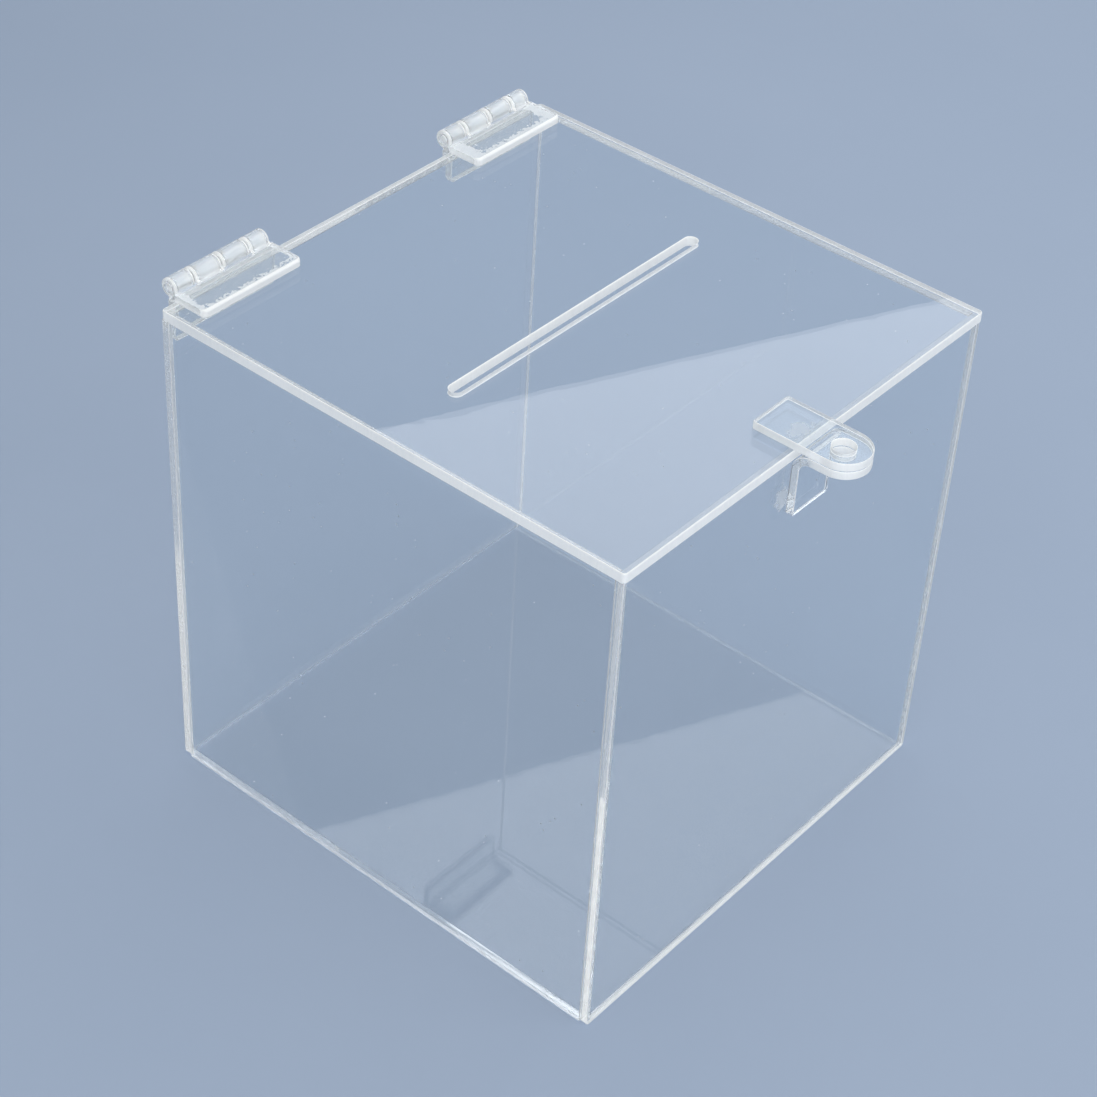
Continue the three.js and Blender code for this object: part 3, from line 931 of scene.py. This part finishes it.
# flat strip to bent strip: s runs up the leg, round the bend and out along the tongue,
# w is the depth from the face against the wall, which becomes the top of the tongue
def bendStrip(s, u, w):
    turn = np.clip((s - legLength) / bend, 0, np.pi / 2)
    y = bendY + (bend - w) * np.cos(turn) - np.maximum(s - legLength - bendLength, 0)
    z = bendZ + (bend - w) * np.sin(turn) + np.minimum(s - legLength, 0)
    return np.stack([np.broadcast_to(haspX + u, y.shape), y, z], -1)


# the strip's outline inset by d, as two sides that run from the foot to where the eye begins,
# and the eye's rim from the right side round the tip to the left side
def stripOutline(d):
    corner, half = hasp["corner"], haspHalf - d
    t = quarterTurn(hasp["cornerSteps"])
    runS = np.linspace(corner, eyeStart, hasp["legSteps"] + 1)[1:]
    s = np.concatenate([corner - (corner - d) * np.cos(t), runS])
    u = np.concatenate([haspHalf - corner + (corner - d) * np.sin(t), np.full(len(runS), half)])
    a = np.linspace(-np.pi / 2, np.pi / 2, hasp["eyeSteps"] + 1)
    sideS = np.linspace(eyeStart, eyeCentre, hasp["eyeSideSteps"] + 1)[1:-1]
    sideU = np.full(len(sideS), half)
    eyeS = np.concatenate([sideS, eyeCentre + half * np.cos(a), sideS[::-1]])
    eyeU = np.concatenate([sideU, -half * np.sin(a), -sideU])
    return s, u, eyeS, eyeU


# bracket: the edge section carried round the bent outline, both faces ruled from side to side up to
# the eye and ringed round the hole, then the section carried round the hole
def bracketPatches():
    insets, depths = edgeSection(0, hasp["thickness"], hasp["arris"],
                                 panelEdge["arrisSteps"], hasp["cutSteps"])
    onArris, _ = sectionParts(insets)
    across = np.linspace(0, 1, hasp["acrossSteps"] + 1)
    places, loops, eyeRims, holeRims = [], [], [], []
    for d, w in zip(insets, depths):
        s, u, eyeS, eyeU = stripOutline(d)
        footU = u[0] * (2 * across[1:-1] - 1)
        places.append(np.concatenate([s, eyeS, s[::-1], np.full(len(footU), s[0])]))
        loops.append(bendStrip(places[-1], np.concatenate([u, eyeU, -u[::-1], footU]), w))
        lineU = -u[-1] * (1 - 2 * across)
        rimS = np.concatenate([[s[-1]], eyeS, np.full(len(lineU) - 1, s[-1])])
        rimU = np.concatenate([[u[-1]], eyeU, lineU[:-1]])
        way = np.stack([rimS - eyeCentre, rimU], -1)
        way = (hole + d) * way / np.linalg.norm(way, axis=1, keepdims=True)
        eyeRims.append(bendStrip(rimS, rimU, w))
        holeRims.append(bendStrip(eyeCentre + way[:, 0], way[:, 1], w))
    along = runLengths(np.concatenate([loops[0], loops[0][:1]]))
    thick = runLengths(np.stack([insets, depths], -1))
    frostFrom, frostTo = hasp["frostRun"]
    tongue = np.clip((places[0] - eyeStart - frostFrom) / (frostTo - frostFrom), 0, 1)
    frost = hasp["legFrost"] + tongue * (hasp["roundFrost"] - hasp["legFrost"])
    frost = np.where(onArris[:, None], hasp["arrisFrost"], frost[None])
    spread = np.linspace(0, 1, len(holeRims[0]) + 1)
    patches = [gridPatch(np.stack(loops), True, along, thick, onCut, True, frost)]
    for row in (0, -1):
        s, u, _, _ = stripOutline(insets[row])
        grid = bendStrip(s[:, None] + 0 * across[None], u[:, None] * (1 - 2 * across[None]), depths[row])
        ring = np.stack([eyeRims[row], holeRims[row]])
        patches += [gridPatch(grid, False, across * hasp["width"], s),
                    gridPatch(ring, True, spread, [0, 1], smooth=False)]
    girth = spread * 2 * np.pi * hole
    patches.append(gridPatch(np.stack(holeRims), True, girth, thick, onCut, True, hasp["holeFrost"]))
    return patches


putPiece("haspBracket", bracketPatches(), sheetFaces, "box", "hasp_bracket")
print("hasp ready")


# floor, light and camera

stage = {
    "floor": (0.36, 0.435, 0.56, 1),
    "floorDeep": (0.335, 0.41, 0.535, 1),
    "backdrop": (0.38, 0.455, 0.58, 1),
    "ambient": (0.93, 0.97, 1.0, 1),
    "ambientStrength": 0.42,
    "floorRings": (0.5, 1.0, 2.0, 4.0, 9.0),  # metres
    "floorTurns": 48,
    "floorDrop": 0.25,
    "mottleNoise": (6.0, 6.0),
    "mottleStep": (0.2, 0.8),
    "floorRough": (0.75, 0.9),
    "floorShine": 0.2,
    "fade": (0.55, 1.7),  # the floor goes over into the backdrop between these distances
}


# 1 for rays that come from the camera, straight or by way of gloss and clear sheet
def seenRays(tree):
    path = addNode(tree, "LightPath")
    return maths(tree, "MAXIMUM", path.outputs["Is Camera Ray"],
                 maths(tree, "MAXIMUM", path.outputs["Is Glossy Ray"], path.outputs["Is Transmission Ray"]))


rings = np.array(stage["floorRings"])[:, None]
turns = np.arange(stage["floorTurns"]) * 2 * np.pi / stage["floorTurns"]
drop = np.full((len(rings), len(turns)), -stage["floorDrop"] * mm)
disc = np.stack([rings * np.cos(turns), rings * np.sin(turns), drop], -1)
floorMesh = bpy.data.meshes.new("floor")
floorMesh.from_pydata(disc.reshape(-1, 3).tolist(), [],
                      gridQuads(len(rings), len(turns), True).tolist() + [list(range(len(turns)))])
floor = bpy.data.objects.new("floor", floorMesh)
scene.collection.objects.link(floor)
floorFinish, tree = emptyFinish("paleFloor")
place = addNode(tree, "TexCoord").outputs["Object"]
mottle = noise(tree, place, *stage["mottleNoise"])
floorBody = addNode(tree, "BsdfPrincipled", {
    "Base Color": mixColour(tree, mottle, stage["floor"], stage["floorDeep"]),
    "Roughness": ramp(tree, mottle, *stage["mottleStep"], *stage["floorRough"]),
    "Specular IOR Level": stage["floorShine"]})
distance = addNode(tree, "VectorMath", {0: place}, operation="LENGTH").outputs["Value"]
far = maths(tree, "MULTIPLY", ramp(tree, distance, *stage["fade"], 0.0, 1.0), seenRays(tree))
farGlow = addNode(tree, "Emission", {"Color": stage["backdrop"], "Strength": 1.0})
both = addNode(tree, "MixShader", {0: far, 1: floorBody.outputs[0], 2: farGlow.outputs[0]})
addNode(tree, "OutputMaterial", {"Surface": both.outputs[0]})
floorMesh.materials.append(floorFinish)

world = bpy.data.worlds.new("studio")
scene.world = world
world.use_nodes = True
world.node_tree.nodes.clear()
tree = world.node_tree
ambient = addNode(tree, "Background", {
    "Color": stage["ambient"], "Strength": stage["ambientStrength"]})
backdrop = addNode(tree, "Background", {"Color": stage["backdrop"], "Strength": 1.0})
both = addNode(tree, "MixShader", {
    0: seenRays(tree), 1: ambient.outputs[0], 2: backdrop.outputs[0]})
addNode(tree, "OutputWorld", {"Surface": both.outputs[0]})

# the overhead box ends in a line that the lid and base mirror as a pale pane, as flat sheet does
lamps = {
    "overhead": {"at": (0.653, 0.113, 0.88), "to": (0.653, 0.113, 0), "turn": -25.0,
                 "size": (1.5, 0.85), "power": 4.6},
    "leftFront": {"at": (-1.15, -0.55, 0.85), "to": (0.0, 0.0, 0.1), "turn": 0.0,
                  "size": (1.7, 1.7), "power": 12.5},
    "frontRight": {"at": (0.22, -1.45, 0.80), "to": (0.0, 0.0, 0.1), "turn": 0.0,
                   "size": (1.7, 1.7), "power": 10.8},
}
straightDown = 0.999


# place and turn of a lamp or camera: its back is the way from the target, its right is level, then it rolls
def lookFrom(at, to, roll=0.0):
    back = np.asarray(at, float) - np.asarray(to, float)
    back /= np.linalg.norm(back)
    right = np.cross((0, 0, 1), back) if abs(back[2]) < straightDown else np.array([1.0, 0.0, 0.0])
    right /= np.linalg.norm(right)
    up = np.cross(back, right)
    c, s = np.cos(roll), np.sin(roll)
    turned = Matrix(np.stack([c * right + s * up, c * up - s * right, back], -1).tolist())
    return Matrix.Translation(at) @ turned.to_4x4()


for name, lamp in lamps.items():
    light = bpy.data.lights.new(name, "AREA")
    light.shape = "RECTANGLE"
    light.size, light.size_y = lamp["size"]
    light.energy = lamp["power"]
    holder = bpy.data.objects.new(name, light)
    holder.matrix_world = lookFrom(lamp["at"], lamp["to"], np.radians(lamp["turn"]))
    scene.collection.objects.link(holder)

view = {
    "azimuth": -51.791,
    "elevation": 39.171,
    "roll": 3.515,
    "distance": 0.95358,
    "focus": 2629.8 / 1097.0,  # focal length over the frame's width
    "sensor": 36.0,
    "clip": (0.01, 50.0),
    "height": 0.102,
    "aside": -0.004586,
    "above": -0.001965,
}

azimuth, elevation = np.radians(view["azimuth"]), np.radians(view["elevation"])
level = np.array([np.sin(azimuth), -np.cos(azimuth), 0.0])
back = np.cos(elevation) * level + np.array([0.0, 0.0, np.sin(elevation)])
right = np.array([np.cos(azimuth), np.sin(azimuth), 0.0])
aim = np.array([0, 0, view["height"]]) + view["aside"] * right + view["above"] * np.cross(back, right)
camera = bpy.data.objects.new("camera", bpy.data.cameras.new("camera"))
camera.data.sensor_width = view["sensor"]
camera.data.lens = view["sensor"] * view["focus"]
camera.data.clip_start, camera.data.clip_end = view["clip"]
camera.matrix_world = lookFrom(aim + back * view["distance"], aim, np.radians(view["roll"]))
scene.collection.objects.link(camera)
scene.camera = camera

scene.view_settings.view_transform = "Standard"
# light inside clear sheet is turned back many times before it leaves at an edge
bounces = {"max_bounces": 64, "transmission_bounces": 48, "glossy_bounces": 64, "transparent_max_bounces": 48}
for name, count in bounces.items():
    setattr(scene.cycles, name, count)
print("stage ready")
